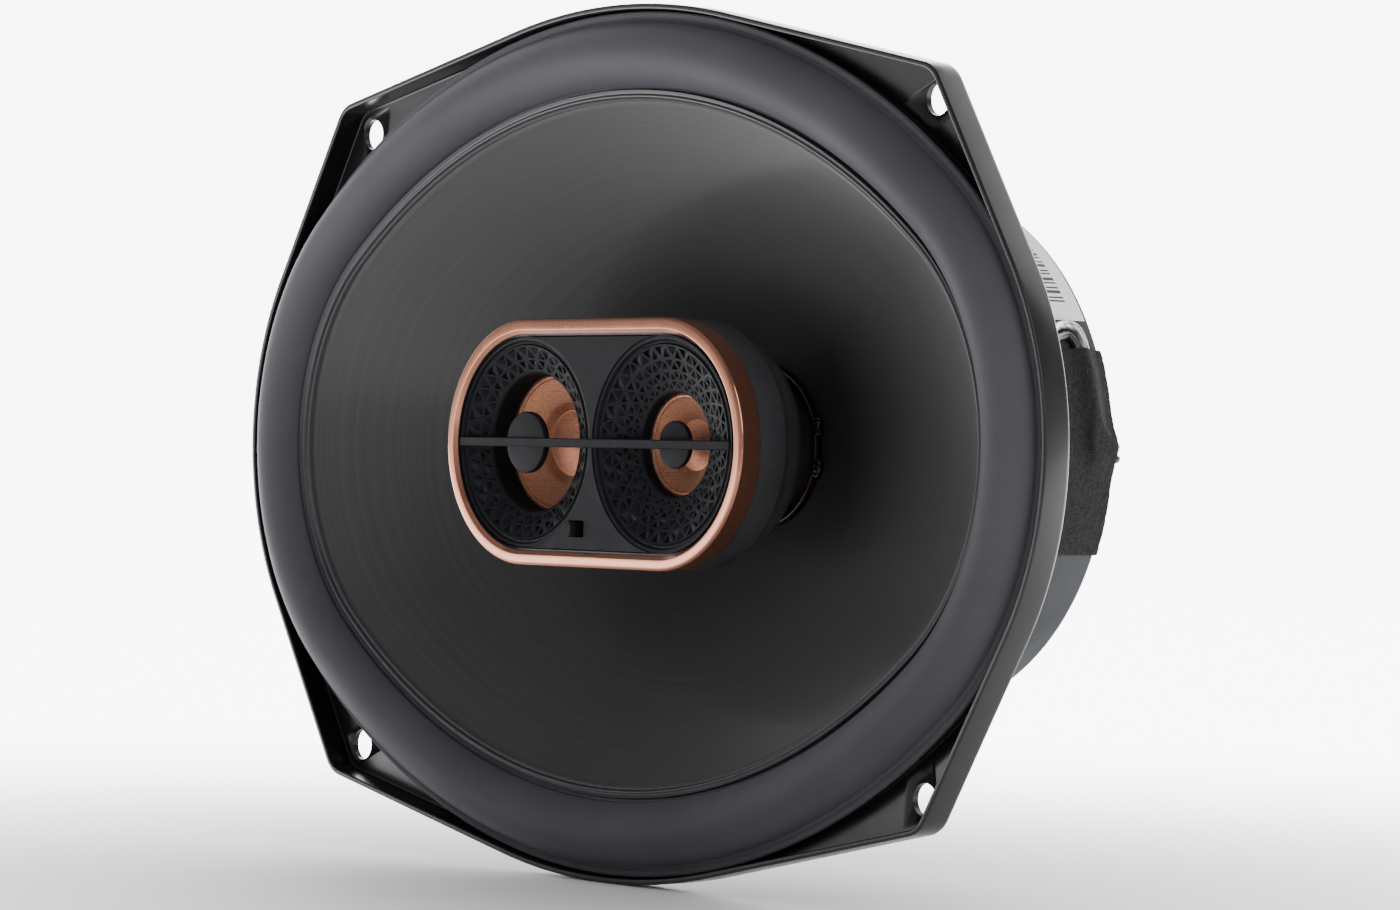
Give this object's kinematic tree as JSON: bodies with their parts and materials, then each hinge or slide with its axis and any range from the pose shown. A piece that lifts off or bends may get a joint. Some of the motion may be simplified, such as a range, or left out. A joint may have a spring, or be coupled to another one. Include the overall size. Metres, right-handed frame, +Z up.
{
  "type": "coaxial car speaker",
  "caption": "Oval 6 x 9 inch three-way coaxial car speaker: pressed basket with four ears, moving cone, and a front pod with midrange, tweeter and level switch.",
  "frame": {"origin": "middle of the four mounting holes, on the rear seating face of the flange", "axes": "+X along the long side, to the right as seen from the front; +Y to the rear along the cone's axis, so the front faces -Y; +Z up along the short side"},
  "size_m": [0.2316, 0.0978, 0.1636],
  "materials": {
    "black_steel": "satin black powder coat",
    "surround_rubber": "matte dark slate",
    "edge_ring": "satin",
    "cone_paper": "glossy injected cone with fine concentric sheen",
    "former_film": "bronze film",
    "copper_wire": "enamelled copper",
    "black_glue": "glossy black glue",
    "spider_cloth": "impregnated cotton",
    "tinsel": "braided tinsel",
    "plated_steel": "zinc plated",
    "ferrite": "satin grey ferrite",
    "rivet_steel": "plated",
    "black_plastic": "satin black moulding",
    "copper_trim": "rose copper plated, polished",
    "face_plastic": "dark slate moulding",
    "copper_cloth": "copper coated cloth",
    "neodymium": "nickel plated",
    "board_green": "solder mask",
    "capacitor_sleeve": "shrink sleeve",
    "phenolic": "paper laminate",
    "tinned_brass": "tinned",
    "clear_wire": "clear jacket over tinned strands",
    "black_wire": "black jacket",
    "black_felt": "non-woven felt",
    "label_paper": null
  },
  "bodies": {
    "frame": {"basket": "black_steel", "surround": "surround_rubber", "spider": "spider_cloth", "tinsel_lead_positive": "tinsel", "tinsel_lead_negative": "tinsel", "top_plate": "plated_steel", "magnet": "ferrite", "pole_yoke": "plated_steel", "basket_rivets": "rivet_steel", "pod_post": "black_plastic", "post_bolt": "rivet_steel", "post_screws": "rivet_steel", "pod_housing": "black_plastic", "pod_trim_ring": "copper_trim", "pod_face": "face_plastic", "phase_bar": "face_plastic", "mid_frame": "black_plastic", "mid_surround": "copper_cloth", "mid_pole_disc": "plated_steel", "mid_magnet": "neodymium", "mid_yoke": "plated_steel", "tweeter_frame": "black_plastic", "tweeter_surround": "copper_cloth", "tweeter_pole_disc": "plated_steel", "tweeter_magnet": "neodymium", "tweeter_yoke": "plated_steel", "switch_body": "black_plastic", "crossover_board": "board_green", "crossover_capacitors": "capacitor_sleeve", "crossover_inductor": "copper_wire", "terminal_board": "phenolic", "terminal_tab_positive": "tinned_brass", "terminal_tab_negative": "tinned_brass", "terminal_rivet": "rivet_steel", "jumper_wire_positive": "clear_wire", "jumper_wire_negative": "black_wire", "felt_strip": "black_felt", "paper_label": "label_paper"},
    "woofer": {"cone": "cone_paper", "cone_edge_ring": "edge_ring", "voice_coil_former": "former_film", "voice_coil_winding": "copper_wire", "neck_glue": "black_glue"},
    "midrange": {"mid_cone": "copper_cloth", "mid_voice_coil": "copper_wire"},
    "tweeter": {"tweeter_cone": "copper_cloth", "tweeter_voice_coil": "copper_wire"},
    "level_switch": {"switch_lever": "face_plastic"}
  },
  "joints": [
    {"name": "woofer_stroke", "type": "slide", "parent": "frame", "child": "woofer", "axis": [0, -1, 0], "range_m": [-0.005, 0.005], "stiffness_N_per_m": 2000, "deforming": ["surround", "spider", "tinsel_lead_positive", "tinsel_lead_negative"]},
    {"name": "mid_stroke", "type": "slide", "parent": "frame", "child": "midrange", "axis": [0, -1, 0], "range_m": [-0.0006, 0.0006], "stiffness_N_per_m": 400, "deforming": ["mid_surround"]},
    {"name": "tweeter_stroke", "type": "slide", "parent": "frame", "child": "tweeter", "axis": [0, -1, 0], "range_m": [-0.0003, 0.0003], "stiffness_N_per_m": 400, "deforming": ["tweeter_surround"]},
    {"name": "switch_slide", "type": "slide", "parent": "frame", "child": "level_switch", "axis": [1, 0, 0], "range_m": [0, 0.0024]}
  ]
}
